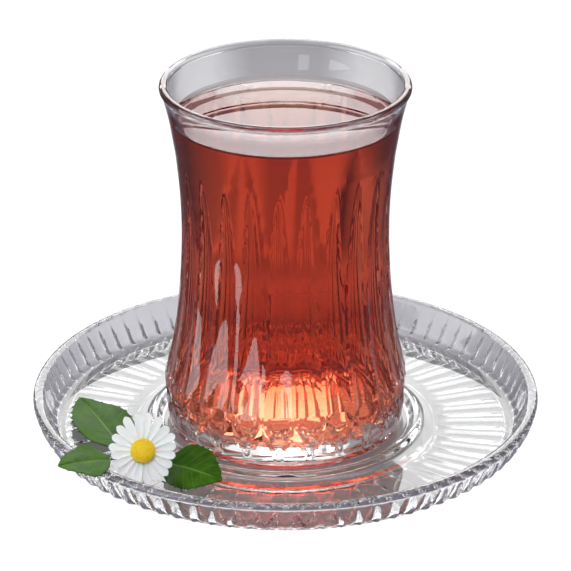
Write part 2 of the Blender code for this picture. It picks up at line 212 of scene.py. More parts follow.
# Soft panels: a panel lights matt things, is mirrored in glass and tea, or is seen through them
PANELS = {
    "back_softbox": {
        "place": (0.0, 1.3, 0.72), "aim": (0, 0, 0.05), "width": 1.5, "height": 0.9,
        "brightness": 4.4, "shows": ("mirrored",),
    },
    "back_glow": {
        "place": (0.0, 1.32, 0.73), "aim": (0, 0, 0.05), "width": 1.5, "height": 0.9,
        "brightness": 0.65, "shows": ("seen_through",),
    },
    "back_glow_middle": {
        "place": (0.0, 1.21, 0.84), "aim": (0, 0, 0.20), "width": 0.46, "height": 0.62,
        "brightness": 3.7, "shows": ("seen_through",),
    },
    "left_softbox": {
        "place": (-0.42, -0.10, 0.16), "aim": (0, 0, 0.05), "width": 0.52, "height": 0.34,
        "brightness": 2.8, "shows": ("mirrored",),
    },
    "left_low_softbox": {
        "place": (-0.245, -0.119, 0.012), "aim": (-0.209, -0.101, 1), "width": 0.36, "height": 0.30,
        "brightness": 4.0, "shows": ("mirrored",),
    },
    "front_strip": {
        "place": (-0.15, -0.45, 0.1), "aim": (0, 0, 0.05), "width": 0.09, "height": 0.24,
        "brightness": 2.8, "shows": ("mirrored",),
    },
    "front_fill": {
        "place": (-0.3, -0.7, 0.9), "aim": (0, 0, 0), "width": 0.8, "height": 0.6,
        "brightness": 4.0, "shows": ("on_matt",),
    },
    "top_softbox": {
        "place": (0.0, 0.1, 1.4), "aim": (0, 0, 0), "width": 1.4, "height": 1.4,
        "brightness": 1.4, "shows": ("on_matt", "mirrored", "seen_through"),
    },
}


# Handling

def put_down():
    """Leaves edit mode, with nothing selected."""
    if bpy.context.object and bpy.context.object.mode != "OBJECT":
        bpy.ops.object.mode_set(mode="OBJECT")
    bpy.ops.object.select_all(action="DESELECT")


def take_up(piece):
    put_down()
    piece.select_set(True)
    bpy.context.view_layer.objects.active = piece


def named(name):
    piece = bpy.context.object
    piece.name = name
    piece.data.name = name
    return piece


def start_point(name, place):
    """A new piece that is a single point at this place, selected in edit mode."""
    put_down()
    bpy.ops.mesh.primitive_plane_add(size=MM)
    piece = named(name)
    bpy.ops.object.mode_set(mode="EDIT")
    bpy.ops.mesh.select_mode(type="VERT")
    bpy.ops.mesh.select_all(action="SELECT")
    bpy.ops.mesh.merge(type="CENTER")
    bpy.ops.transform.translate(value=place)
    return piece


def draw_outline(name, outline):
    """Draws the (radius, height) points in millimetres as a chain of edges, on the front side."""
    radius, height = outline[0]
    piece = start_point(name, (0, -radius * MM, height * MM))
    for next_radius, next_height in outline[1:]:
        step = (0, (radius - next_radius) * MM, (next_height - height) * MM)
        bpy.ops.mesh.extrude_vertices_move(TRANSFORM_OT_translate={"value": step})
        radius, height = next_radius, next_height
    return piece


def turn(sweep, steps):
    """Turns the drawn outline about the Z axis."""
    bpy.ops.mesh.select_all(action="SELECT")
    bpy.ops.mesh.spin(steps=steps, angle=-sweep, center=(0, 0, 0), axis=(0, 0, 1))


def select_points(piece, wanted):
    body = bmesh.from_edit_mesh(piece.data)
    for point in body.verts:
        point.select = point.index in wanted
    body.select_flush_mode()


def cells_of(piece, outline, sweep, columns):
    """The vertex in each (row, column) of a turned sector that starts at the front."""
    bpy.ops.object.mode_set(mode="OBJECT")
    cells = {}
    places = {}
    for row, (radius, height) in enumerate(outline):
        places.setdefault((round(radius * 100), round(height * 100)), row)
    for point in piece.data.vertices:
        x, y, z = point.co / MM
        radius = hypot(x, y)
        key = (round(radius * 100), round(z * 100))
        near = [(key[0] + i, key[1] + j) for i in (0, -1, 1) for j in (0, -1, 1)]
        row = next(places[place] for place in near if place in places)
        column = round(atan2(x, -y) / sweep * columns) if radius > 0.01 else 0
        cells[row, column] = point.index
    bpy.ops.object.mode_set(mode="EDIT")
    return cells


def push_in(piece, points, radius, depth):
    """Moves points that lie at this radius towards the axis by a depth, both in millimetres."""
    share = (radius - depth) / radius
    select_points(piece, points)
    bpy.ops.transform.resize(value=(share, share, 1), center_override=(0, 0, 0))


def lift(piece, points, height):
    select_points(piece, points)
    bpy.ops.transform.translate(value=(0, 0, height * MM))


def repeat_round(piece, count, start=0.0):
    """Copies the sector round the axis, closes the seams and turns every face outwards."""
    bpy.ops.mesh.select_all(action="SELECT")
    if start:
        bpy.ops.transform.rotate(value=-start, orient_axis="Z", center_override=(0, 0, 0))
    sweep = 2 * pi * (count - 1) / count
    bpy.ops.mesh.spin(steps=count - 1, dupli=True, angle=-sweep, center=(0, 0, 0), axis=(0, 0, 1))
    bpy.ops.mesh.select_all(action="SELECT")
    bpy.ops.mesh.remove_doubles(threshold=0.004 * MM)
    bpy.ops.mesh.normals_make_consistent(inside=False)
    bpy.ops.object.mode_set(mode="OBJECT")


def finish_piece(piece, angle, material):
    """Applies place and turn, shades it smooth up to an angle and gives it its finish."""
    take_up(piece)
    bpy.ops.object.transform_apply(location=True, rotation=True, scale=True)
    bpy.ops.object.shade_smooth_by_angle(angle=radians(angle))
    piece.data.materials.clear()
    piece.data.materials.append(material)
    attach(piece, "root")


def smooth_through(points, steps):
    """Points on a smooth curve through these, with a number of steps between neighbours."""
    curve = []
    for i in range(len(points) - 1):
        near = points[max(i - 1, 0)], points[i], points[i + 1], points[min(i + 2, len(points) - 1)]
        for s in range(steps):
            t = s / steps
            curve.append(tuple(
                b + 0.5 * ((c - a) * t
                           + (2 * a - 5 * b + 4 * c - d) * t ** 2
                           + (3 * b - a - 3 * c + d) * t ** 3)
                for a, b, c, d in zip(*near)
            ))
    curve.append(points[-1])
    return curve


def arc(centre, radius, start, end, steps):
    """Points round a (radius, height) centre between two angles in degrees."""
    return [
        (centre[0] + radius * cos(radians(start + (end - start) * i / steps)),
         centre[1] + radius * sin(radians(start + (end - start) * i / steps)))
        for i in range(steps + 1)
    ]


def straight(a, b, steps):
    """Points between a and b, with both ends left out."""
    return [(a[0] + (b[0] - a[0]) * i / steps, a[1] + (b[1] - a[1]) * i / steps) for i in range(1, steps)]


# Finishes

def new_finish(name):
    material = bpy.data.materials.new(name)
    material.use_nodes = True
    nodes, links = material.node_tree.nodes, material.node_tree.links
    shader = nodes["Principled BSDF"]
    place = nodes.new("ShaderNodeTexCoord").outputs["Object"]
    return material, nodes, links, shader, place


def noise(nodes, links, place, scale, detail=2.0):
    texture = nodes.new("ShaderNodeTexNoise")
    texture.inputs["Scale"].default_value = scale
    texture.inputs["Detail"].default_value = detail
    links.new(place, texture.inputs["Vector"])
    return texture.outputs["Fac"]


def between(nodes, links, value, low, high, start=0.0, end=1.0):
    """A value run through a range."""
    spread = nodes.new("ShaderNodeMapRange")
    spread.inputs["From Min"].default_value = start
    spread.inputs["From Max"].default_value = end
    spread.inputs["To Min"].default_value = low
    spread.inputs["To Max"].default_value = high
    links.new(value, spread.inputs["Value"])
    return spread.outputs["Result"]


def sums(nodes, links, operation, a, b=0.0):
    """One step of arithmetic on values or numbers."""
    node = nodes.new("ShaderNodeMath")
    node.operation = operation
    for socket, value in zip(node.inputs, (a, b)):
        if isinstance(value, float):
            socket.default_value = value
        else:
            links.new(value, socket)
    return node.outputs["Value"]


def colours(nodes, links, value, stops):
    """A value turned into colours, as (place, colour) stops."""
    ramp = nodes.new("ShaderNodeValToRGB")
    band = ramp.color_ramp
    for i, (place, colour) in enumerate(stops):
        stop = band.elements[i] if i < 2 else band.elements.new(place)
        stop.position = place
        stop.color = (*colour, 1.0)
    links.new(value, ramp.inputs["Fac"])
    return ramp.outputs["Color"]


def mixed(nodes, links, share, below, over):
    """A colour laid over another by a share."""
    mix = nodes.new("ShaderNodeMix")
    mix.data_type = "RGBA"
    links.new(share, mix.inputs["Factor"])
    links.new(below, mix.inputs[6])
    mix.inputs[7].default_value = (*over, 1.0)
    return mix.outputs[2]


def bump(nodes, links, value, strength, distance):
    relief = nodes.new("ShaderNodeBump")
    relief.inputs["Strength"].default_value = strength
    relief.inputs["Distance"].default_value = distance
    links.new(value, relief.inputs["Height"])
    return relief.outputs["Normal"]


def coat(nodes, links, shader, value, tints, *roughness):
    """Colour and roughness that both follow one value."""
    links.new(colours(nodes, links, value, tints), shader.inputs["Base Color"])
    links.new(between(nodes, links, value, *roughness), shader.inputs["Roughness"])


def pressed_glass(name, tint, ripple):
    """Clear glass with the faint ripples and clouding of a pressed piece."""
    material, nodes, links, shader, place = new_finish(name)
    shader.inputs["Transmission Weight"].default_value = 1.0
    shader.inputs["IOR"].default_value = 1.5
    cloud = noise(nodes, links, place, 90, 3)
    coat(nodes, links, shader, cloud, [(0.3, tint), (0.7, (1.0, 1.0, 1.0))], 0.0, 0.02, 0.4, 0.8)
    waves = noise(nodes, links, place, 240, 1)
    links.new(bump(nodes, links, waves, ripple, 0.15 * MM), shader.inputs["Normal"])
    return material


def brewed_tea():
    """Clear red tea: the colour comes from the depth that light goes through."""
    material, nodes, links, shader, place = new_finish("tea_brew")
    shader.inputs["Transmission Weight"].default_value = 1.0
    shader.inputs["IOR"].default_value = 1.33
    shader.inputs["Roughness"].default_value = 0.0
    haze = noise(nodes, links, place, 60, 2)
    tints = [(0.3, (1.0, 0.97, 0.95)), (0.7, (1.0, 0.99, 0.98))]
    links.new(colours(nodes, links, haze, tints), shader.inputs["Base Color"])
    depth = nodes.new("ShaderNodeVolumeAbsorption")
    depth.inputs["Color"].default_value = (0.945, 0.42, 0.16, 1.0)
    depth.inputs["Density"].default_value = 100.0
    output = next(node for node in nodes if node.type == "OUTPUT_MATERIAL")
    links.new(depth.outputs["Volume"], output.inputs["Volume"])
    return material


def petal_white():
    material, nodes, links, shader, place = new_finish("petal_white")
    shader.inputs["Subsurface Weight"].default_value = 0.25
    shader.inputs["Subsurface Scale"].default_value = 0.6 * MM
    cloud = noise(nodes, links, place, 700, 3)
    tints = [(0.2, (0.90, 0.92, 0.86)), (0.5, (0.97, 0.97, 0.96))]
    coat(nodes, links, shader, cloud, tints, 0.45, 0.7)
    grain = noise(nodes, links, place, 2500, 2)
    links.new(bump(nodes, links, grain, 0.3, 0.05 * MM), shader.inputs["Normal"])
    return material


def floret_yellow():
    material, nodes, links, shader, place = new_finish("floret_yellow")
    patch = noise(nodes, links, place, 3600, 2)
    tints = [(0.32, (0.90, 0.46, 0.01)), (0.42, (0.95, 0.68, 0.01)), (0.62, (1.0, 0.82, 0.04))]
    coat(nodes, links, shader, patch, tints, 0.5, 0.75)
    grain = noise(nodes, links, place, 4000, 2)
    links.new(bump(nodes, links, grain, 0.4, 0.04 * MM), shader.inputs["Normal"])
    return material


def calyx_green():
    material, nodes, links, shader, place = new_finish("calyx_green")
    fibres = noise(nodes, links, place, 900, 4)
    tints = [(0.3, (0.05, 0.14, 0.02)), (0.7, (0.16, 0.34, 0.07))]
    coat(nodes, links, shader, fibres, tints, 0.45, 0.65)
    links.new(bump(nodes, links, fibres, 0.4, 0.06 * MM), shader.inputs["Normal"])
    return material


def leaf_green():
    """Deep green with pale veins that follow the leaf's own map: U runs along it, V across."""
    material, nodes, links, shader, place = new_finish("leaf_green_veined")
    shader.inputs["Specular IOR Level"].default_value = 0.06
    leaf_map = nodes.new("ShaderNodeUVMap")
    leaf_map.uv_map = "leaf"
    split = nodes.new("ShaderNodeSeparateXYZ")
    links.new(leaf_map.outputs["UV"], split.inputs["Vector"])

    side = sums(nodes, links, "ABSOLUTE", sums(nodes, links, "SUBTRACT", split.outputs["Y"], 0.5))
    drift = sums(nodes, links, "MULTIPLY", noise(nodes, links, place, 260, 2), 0.05)
    back = sums(nodes, links, "MULTIPLY", side, 0.42)
    slant = sums(nodes, links, "ADD", sums(nodes, links, "SUBTRACT", split.outputs["X"], back), drift)
    saw = sums(nodes, links, "PINGPONG", sums(nodes, links, "MULTIPLY", slant, LEAF_VEINS), 0.5)
    side_vein = between(nodes, links, saw, 1.0, 0.0, 0.0, 0.07)
    midrib = between(nodes, links, side, 1.0, 0.0, 0.008, 0.03)
    veins = sums(nodes, links, "MAXIMUM", sums(nodes, links, "MULTIPLY", side_vein, 0.38), midrib)
    patch = noise(nodes, links, place, 330, 4)
    blade = colours(nodes, links, patch, [(0.3, (0.020, 0.080, 0.002)), (0.7, (0.060, 0.165, 0.006))])
    painted = mixed(nodes, links, sums(nodes, links, "MULTIPLY", veins, 0.6), blade, (0.20, 0.40, 0.07))
    links.new(painted, shader.inputs["Base Color"])
    links.new(between(nodes, links, patch, 0.38, 0.55), shader.inputs["Roughness"])
    relief = sums(nodes, links, "SUBTRACT", sums(nodes, links, "MULTIPLY", patch, 0.25), veins)
    links.new(bump(nodes, links, relief, 0.7, 0.16 * MM), shader.inputs["Normal"])
    return material


# Glass

def glass_outline():
    """The section of the glass, from the middle of its inside floor over the bead and down to the base."""
    inside = smooth_through(INNER_OUTLINE[::-1], 4)
    outside = smooth_through(OUTER_OUTLINE, 4)
    bead = arc(BEAD_CENTRE, BEAD_RADIUS, *BEAD_ARC, 12)
    band = [(STAR_RADIUS, STAR_HEIGHT + SWAG_STEP), (STAR_RADIUS, STAR_HEIGHT)]
    for i in range(1, FACET_ROWS + 1):
        share = i / FACET_ROWS
        band.append((
            STAR_RADIUS + (LOWER_STAR_RADIUS - STAR_RADIUS) * share,
            STAR_HEIGHT + (LOWER_STAR_HEIGHT - STAR_HEIGHT) * share,
        ))
    base = [(radius, FOOT_OUTLINE[-1][1]) for radius in (12.0, 0.0)]
    return inside + bead + outside + band + FOOT_OUTLINE + base


def cut_flutes(piece, outline, cells, first, last):
    """Cuts the concave flute, pointed at its top, into the rows from first to last."""
    middle = GLASS_COLUMNS // 2
    for row in range(first, last + 1):
        radius, height = outline[row]
        grown = (GLASS_FLUTE_TOP - height) / (GLASS_FLUTE_TOP - GLASS_FLUTE_FULL)
        grown = min(1.0, max(0.0, grown))
        if not grown:
            continue
        half_width = GLASS_FLUTE_HALF_ANGLE * grown ** GLASS_FLUTE_WIDENS
        for k in range(middle):
            across = 2 * pi / GLASS_SECTORS * k / GLASS_COLUMNS / half_width
            depth = GLASS_FLUTE_DEPTH * grown ** GLASS_FLUTE_DEEPENS * (1 - across ** 2)
            if depth > 0:
                push_in(piece, {cells[row, middle - k], cells[row, middle + k]}, radius, depth)


def cut_facets(piece, outline, cells, swag_row):
    """Bows the swag's two edges, then sinks each triangle under it towards its middle."""
    middle = GLASS_COLUMNS // 2
    for k in range(middle):
        bow = 1 - (k / middle) ** 2
        pair = {cells[swag_row - 1, middle - k], cells[swag_row - 1, middle + k]}
        lift(piece, pair, SWAG_RISE * bow)
        push_in(piece, pair, outline[swag_row - 1][0], SWAG_SINK * bow)
        for row in range(swag_row, swag_row + SWAG_ROWS):
            fade = 1 - (row - swag_row) / SWAG_ROWS
            pair = {cells[row, middle - k], cells[row, middle + k]}
            lift(piece, pair, -SWAG_DROOP * bow * fade)
    for i in range(FACET_ROWS + 1):
        down = i / FACET_ROWS
        for k in range(middle + 1):
            to_ridge = down - (middle - k) / middle
            if to_ridge > 0:
                depth = min(to_ridge, FACET_SLOPE * (1 - down)) / FACET_FULL_AT
            else:
                depth = min(-to_ridge, FACET_SLOPE * down) / FACET_FULL_AT
            if depth > 0:
                pair = {cells[swag_row + i, middle - k], cells[swag_row + i, middle + k]}
                push_in(piece, pair, outline[swag_row + i][0], FACET_DEPTH * min(depth, 1.0))
    for side in (-1, 1):
        ridge = {cells[swag_row + i, middle + side * (middle - i)] for i in range(FACET_ROWS + 1)}
        select_points(piece, ridge)
        bpy.ops.mesh.vert_connect()


def make_glass():
    sweep = 2 * pi / GLASS_SECTORS
    outline = glass_outline()
    piece = draw_outline("clear_glass", outline)
    turn(sweep, GLASS_COLUMNS)
    cells = cells_of(piece, outline, sweep, GLASS_COLUMNS)
    first = outline.index(OUTER_OUTLINE[0])
    swag_row = outline.index((STAR_RADIUS, STAR_HEIGHT))
    cut_flutes(piece, outline, cells, first, swag_row - 2)
    cut_facets(piece, outline, cells, swag_row)
    repeat_round(piece, GLASS_SECTORS, GLASS_NODE_ANGLE)
    finish_piece(piece, 13, pressed_glass("glass_clear", (0.985, 0.992, 0.995), 0.02))
    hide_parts("glass")


# Tea

def make_tea():
    """The tea, just into the wall all round, with the edge of its surface drawn up the glass."""
    wall = [(r, h) for r, h in smooth_through(INNER_OUTLINE[::-1], 4) if h <= TEA_LEVEL]
    outline = [(0.0, wall[0][1] - TEA_INTO_WALL)]
    for radius, height in wall[1:]:
        out = TEA_INTO_WALL if radius > TEA_SIDE_PAST else 0.0
        down = TEA_INTO_WALL if height < TEA_FLOOR_UNDER else 0.0
        outline.append((radius + out, height - down))
    last_radius, last_height = wall[-1]
    climb = (TEA_LEVEL + MENISCUS_RISE - last_height) / (WALL_AT_TEA[1] - last_height)
    edge = last_radius + TEA_INTO_WALL + (WALL_AT_TEA[0] - last_radius) * climb
    for i in range(MENISCUS_STEPS + 1):
        share = i / MENISCUS_STEPS
        outline.append((edge - MENISCUS_WIDTH * share, TEA_LEVEL + MENISCUS_RISE * (1 - share) ** 3))
    outline += [(radius, TEA_LEVEL) for radius in (18.0, 9.0, 0.0)]
    piece = draw_outline("red_tea", outline)
    turn(2 * pi / TEA_COLUMNS, 1)
    repeat_round(piece, TEA_COLUMNS)
    finish_piece(piece, 40, brewed_tea())
    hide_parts("tea")


# Saucer

def saucer_outline():
    """The section of the saucer, from the middle of its top over the lip and back under it."""
    seat = [
        (SEAT_RADIUS + SEAT_HALF_WIDTH * i / SEAT_STEPS,
         WELL_HEIGHT + SEAT_RISE * cos(pi / 2 * i / SEAT_STEPS) ** 2)
        for i in range(-SEAT_STEPS, SEAT_STEPS + 1)
    ]
    top = [(0.0, WELL_HEIGHT), (14.0, WELL_HEIGHT)] + seat + [(38.0, WELL_HEIGHT), (46.0, WELL_HEIGHT)]
    top += arc((53.2, 5.4), 2.4, -90, -17, 6) + straight((55.5, 4.7), LIP_OUTLINE[0], 4)
    lip = smooth_through(LIP_OUTLINE, 2)
    wall = smooth_through(WALL_OUTLINE, 3)
    groove_end = (FLOOR_FLUTE_END[0] - 0.35, 1.18)
    floor = [(53.4, 1.5), FLOOR_FLUTE_END, groove_end]
    floor += straight(groove_end, FLOOR_FLUTE_START, 7) + [FLOOR_FLUTE_START]
    return top + lip[:-1] + wall + floor + FOOT_RING + [(14.0, 0.5), (0.0, 0.5)]


def make_saucer():
    sweep = 2 * pi / SAUCER_SECTORS
    outline = saucer_outline()
    piece = draw_outline("clear_saucer", outline)
    turn(sweep, SAUCER_COLUMNS)
    cells = cells_of(piece, outline, sweep, SAUCER_COLUMNS)
    half = SAUCER_COLUMNS // 2
    quarter = half // 2
    for row in range(outline.index(WALL_OUTLINE[0]), outline.index(WALL_OUTLINE[-1])):
        radius, height = outline[row]
        grown = min(1.0, max(0.0, (RIM_FLUTE_TOP - height) / (RIM_FLUTE_TOP - RIM_FLUTE_FULL)))
        for k in range(quarter):
            across = k / quarter / max(grown, 0.01) ** 0.5 / RIM_FLUTE_SHARE
            depth = RIM_FLUTE_DEPTH * grown ** 0.8 * (1 - across ** 2)
            if depth > 0:
                flutes = {cells[row, c + s * k] for c in (quarter, half + quarter) for s in (-1, 1)}
                push_in(piece, flutes, radius, depth)
    start, end = FLOOR_FLUTE_START[0], FLOOR_FLUTE_END[0]
    for row in range(outline.index(FLOOR_FLUTE_END) + 1, outline.index(FLOOR_FLUTE_START) + 1):
        along = (outline[row][0] - start) / (end - start)
        share = FLOOR_FLUTE_INNER_SHARE + (1 - FLOOR_FLUTE_INNER_SHARE) * along
        for k in range(half):
            pair = {cells[row, half - k], cells[row, half + k]}
            lift(piece, pair, FLOOR_FLUTE_DEPTH * share * (1 - (k / half) ** 2))
    repeat_round(piece, SAUCER_SECTORS)
    finish_piece(piece, 26, pressed_glass("saucer_clear", (0.98, 0.985, 0.995), 0.03))
    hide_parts("saucer")


# Daisy

def on_daisy(piece):
    """Takes a piece that is modelled facing up at the origin to its place on the flower."""
    tipped = Matrix.Rotation(pi / 2 - DAISY_FACING_UP, 4, "X")
    piece.matrix_world = Matrix.Translation(DAISY_CENTRE) @ tipped


def model_petal():
    """One petal along +X, 1 mm long until it is stretched: rounded tip, two grooves, a slight trough."""
    rows, columns = PETAL_ROWS, PETAL_COLUMNS
    put_down()
    bpy.ops.mesh.primitive_grid_add(x_subdivisions=rows, y_subdivisions=columns, size=2 * MM)
    petal = named("petal")
    bpy.ops.object.mode_set(mode="EDIT")
    bpy.ops.transform.resize(value=(0.5, 1, 1))
    bpy.ops.transform.translate(value=(0.5 * MM, 0, 0))
    places = {}
    for point in bmesh.from_edit_mesh(petal.data).verts:
        row = round(point.co.x / MM * rows)
        column = round((point.co.y / MM + 1) * columns / 2)
        places[row, column] = point.index
    for row in range(rows + 1):
        share = row / rows
        swell = sin(pi / 2 * min(1.0, share / PETAL_WIDE_FROM))
        width = PETAL_ROOT_WIDTH + (1 - PETAL_ROOT_WIDTH) * swell
        if share > PETAL_TIP_SHARE:
            width *= sqrt(max(0.03, 1 - ((share - PETAL_TIP_SHARE) / (1.01 - PETAL_TIP_SHARE)) ** 2))
        select_points(petal, {places[row, c] for c in range(columns + 1)})
        bpy.ops.transform.resize(value=(1, PETAL_HALF_WIDTH * width, 1), center_override=(0, 0, 0))
    for column in range(columns + 1):
        side = abs(2 * column / columns - 1)
        height = PETAL_TROUGH * side ** 2 - (PETAL_GROOVE if column in PETAL_GROOVE_COLUMNS else 0.0)
        for row in range(1, rows):
            fade = min(1.0, (1 - row / rows) / (1 - PETAL_FLAT_FROM))
            select_points(petal, {places[row, column]})
            bpy.ops.transform.translate(value=(0, 0, height * fade * MM))
    bpy.ops.object.mode_set(mode="OBJECT")
    wall = petal.modifiers.new("wall", "SOLIDIFY")
    wall.thickness = PETAL_THICKNESS * MM
    bpy.ops.object.modifier_apply(modifier=wall.name)
    return petal


def make_petals():
    """Twenty petals, each a copy of one, stretched to its own reach and lifted a little differently."""
    petal = model_petal()
    draw = Random(5)
    petals = []
    for i in range(PETALS):
        angle = 2 * pi * (i + 0.5) / PETALS
        reach = PETAL_REACH + PETAL_REACH_UP * sin(angle) + PETAL_REACH_ALONG * sin(angle) ** 2
        reach *= 1.0 + 0.03 * sin(2.3 * i)
        take_up(petal)
        bpy.ops.object.duplicate()
        copy = bpy.context.object
        width = 1.0 + draw.uniform(-PETAL_WIDTH_DRAW, PETAL_WIDTH_DRAW)
        lift_angle = PETAL_LIFT + draw.uniform(-PETAL_LIFT_DRAW, PETAL_LIFT_DRAW)
        roll_angle = draw.uniform(-PETAL_ROLL_DRAW, PETAL_ROLL_DRAW)
        swing_angle = draw.uniform(-PETAL_SWING_DRAW, PETAL_SWING_DRAW)
        stretch = Matrix.Diagonal((reach - PETAL_ROOT, width, 1.0, 1.0))
        lifted = Matrix.Rotation(radians(lift_angle), 4, "Y")
        rolled = Matrix.Rotation(radians(roll_angle), 4, "X")
        out = Matrix.Translation((PETAL_ROOT * MM, 0, PETAL_STACK * MM * (i % 3)))
        swing = Matrix.Rotation(angle + radians(swing_angle), 4, "Z")
        copy.matrix_world = swing @ out @ lifted @ rolled @ stretch
        petals.append(copy)
    put_down()
    bpy.data.objects.remove(petal, do_unlink=True)
    for copy in petals:
        copy.select_set(True)
    bpy.context.view_layer.objects.active = petals[0]
    bpy.ops.object.transform_apply(location=True, rotation=True, scale=True)
    bpy.ops.object.join()
    piece = named("white_petals")
    on_daisy(piece)
    finish_piece(piece, 50, petal_white())
    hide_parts("daisy_petals")


def make_disc():
    """The domed yellow disc, set with small florets in a spiral."""
    put_down()
    bpy.ops.mesh.primitive_uv_sphere_add(segments=32, ring_count=16, radius=DISC_RADIUS * MM)
    dome = named("yellow_disc")
    bpy.ops.object.mode_set(mode="EDIT")
    bpy.ops.mesh.select_all(action="SELECT")
    cut = (0, 0, -DISC_DEPTH * MM)
    bpy.ops.mesh.bisect(plane_co=cut, plane_no=(0, 0, 1), use_fill=True, clear_inner=True)
    bpy.ops.mesh.select_all(action="SELECT")
    bpy.ops.transform.resize(value=(1, 1, DISC_DOME / DISC_RADIUS), center_override=(0, 0, 0))
    bpy.ops.transform.translate(value=(0, 0, DISC_FLOOR * MM))
    bpy.ops.object.mode_set(mode="OBJECT")
    bpy.ops.object.select_all(action="DESELECT")
    bpy.ops.mesh.primitive_uv_sphere_add(segments=8, ring_count=5, radius=FLORET_RADIUS * MM)
    floret = named("floret")
    pieces = [dome]
    for i in range(FLORETS):
        radius = (DISC_RADIUS - 0.02) * sqrt((i + 0.5) / FLORETS)
        angle = i * pi * (3 - sqrt(5))
        height = DISC_FLOOR + DISC_DOME * sqrt(max(0.0, 1 - (radius / DISC_RADIUS) ** 2))
        take_up(floret)
        bpy.ops.object.duplicate()
        copy = bpy.context.object
        size = 0.8 + 0.35 * (radius / DISC_RADIUS)
        copy.location = (radius * MM * cos(angle), radius * MM * sin(angle), height * MM)
        copy.scale = (size, size, size)
        pieces.append(copy)
    put_down()
    bpy.data.objects.remove(floret, do_unlink=True)
    for copy in pieces:
        copy.select_set(True)
    bpy.context.view_layer.objects.active = dome
    bpy.ops.object.join()
    on_daisy(dome)
    finish_piece(dome, 60, floret_yellow())
    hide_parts("daisy_disc")


# Leaves

def leaf_half_width(share, widest, stalk_share):
    """Half the width at this share of the length: a stalk, then a blade that tapers to a drawn-out tip."""
    along_blade = (share - stalk_share) / (1 - stalk_share)
    swell = sin(pi * along_blade ** 0.8) ** 0.82 if 0.0 < along_blade < 1.0 else 0.0
    return max(LEAF_LEAST_WIDTH, widest * swell)


def make_leaf(name, finish, stalk_end, tip, half_width, stalk_share, roll, fold, arch, phase):
    """A leaf with a sunken midrib, toothed edges and a waved blade, in the place of its solid."""
    start = Vector(stalk_end)
    along = Vector(tip) - start
    length = along.length
    put_down()
    bpy.ops.mesh.primitive_grid_add(x_subdivisions=LEAF_ROWS, y_subdivisions=LEAF_COLUMNS, size=2 * MM)
    leaf = named("green_" + name)
    leaf.data.uv_layers[0].name = "leaf"
    bpy.ops.object.mode_set(mode="EDIT")
    bpy.ops.transform.resize(value=(0.5 * length, 1, 1))
    bpy.ops.transform.translate(value=(0.5 * length * MM, 0, 0))
    places = {}
    for point in bmesh.from_edit_mesh(leaf.data).verts:
        row = round(point.co.x / MM / length * LEAF_ROWS)
        column = round((point.co.y / MM + 1) * LEAF_COLUMNS / 2)
        places[row, column] = point.index
    for row in range(LEAF_ROWS + 1):
        share = row / LEAF_ROWS
        width = leaf_half_width(share, half_width, stalk_share)
        select_points(leaf, {places[row, c] for c in range(LEAF_COLUMNS + 1)})
        bpy.ops.transform.resize(value=(1, width, 1), center_override=(0, 0, 0))
        bpy.ops.transform.translate(value=(0, 0, arch * sin(pi * share) * MM))
        for column in range(LEAF_COLUMNS + 1):
            side = 2 * column / LEAF_COLUMNS - 1
            off = abs(side)
            wave = LEAF_WAVE * width * off * off * sin(2 * pi * LEAF_WAVES * share + phase + side)
            rib = -LEAF_RIB * max(0.0, 1 - off * 6) if width > 1 else 0.0
            puff = LEAF_PUFF * sin(pi * min(1.0, 1.6 * off)) * abs(sin(pi * (LEAF_VEINS * share - 3 * off)))
            puff *= min(1.0, width / half_width)
            height = fold * off * width + wave + rib + puff
            select_points(leaf, {places[row, column]})
            bpy.ops.transform.translate(value=(0, 0, height * MM))
    teeth = {places[row, c] for row in range(6, LEAF_ROWS - 2, LEAF_TOOTH_ROWS) for c in (0, LEAF_COLUMNS)}
    select_points(leaf, teeth)
    bpy.ops.transform.resize(value=(1, LEAF_TOOTH_OUT, 1), center_override=(0, 0, 0))
    bpy.ops.transform.translate(value=(LEAF_TOOTH_ALONG * MM, 0, 0))
    bpy.ops.object.mode_set(mode="OBJECT")
    wall = leaf.modifiers.new("wall", "SOLIDIFY")
    wall.thickness = LEAF_THICKNESS * MM
    bpy.ops.object.modifier_apply(modifier=wall.name)
    heading = atan2(along.y, along.x)
    pitch = -atan2(along.z, hypot(along.x, along.y))
    turned = Matrix.Rotation(heading, 4, "Z") @ Matrix.Rotation(pitch, 4, "Y")
    leaf.matrix_world = Matrix.Translation(start * MM) @ turned @ Matrix.Rotation(radians(roll), 4, "X")
    finish_piece(leaf, 60, finish)
    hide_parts(name)


# Studio

def lay_sheet(name, radius, height):
    """A round flat sheet, level and centred on the object."""
    put_down()
    bpy.ops.mesh.primitive_circle_add(vertices=96, radius=radius, fill_type="NGON", location=(0, 0, height))
    return named(name)


def distance_from(nodes, links, place, centre):
    """How far each spot lies from a centre."""
    away = nodes.new("ShaderNodeVectorMath")
    away.operation = "DISTANCE"
    links.new(place, away.inputs[0])
    away.inputs[1].default_value = centre
    return away.outputs["Value"]


def make_floor():
    """A sheet of white acrylic, lit from below, with a soft shade drawn under the saucer."""
    floor = lay_sheet("pale_floor", FLOOR_RADIUS, -FLOOR_DROP)
    material, nodes, links, shader, place = new_finish("floor_white")
    grain = noise(nodes, links, place, 40, 3)
    tints = [(0.3, (0.11, 0.11, 0.11)), (0.7, (0.13, 0.13, 0.13))]
    coat(nodes, links, shader, grain, tints, 0.55, 0.7)
    shader.inputs["Specular IOR Level"].default_value = 0.0
    shader.inputs["Emission Color"].default_value = (1.0, 1.0, 1.0, 1.0)
    away = distance_from(nodes, links, place, SHADE_CENTRE)
    glow = between(nodes, links, away, SHADE_GLOW, FLOOR_GLOW, *SHADE_EDGE)
    links.new(glow, shader.inputs["Emission Strength"])
    floor.data.materials.append(material)


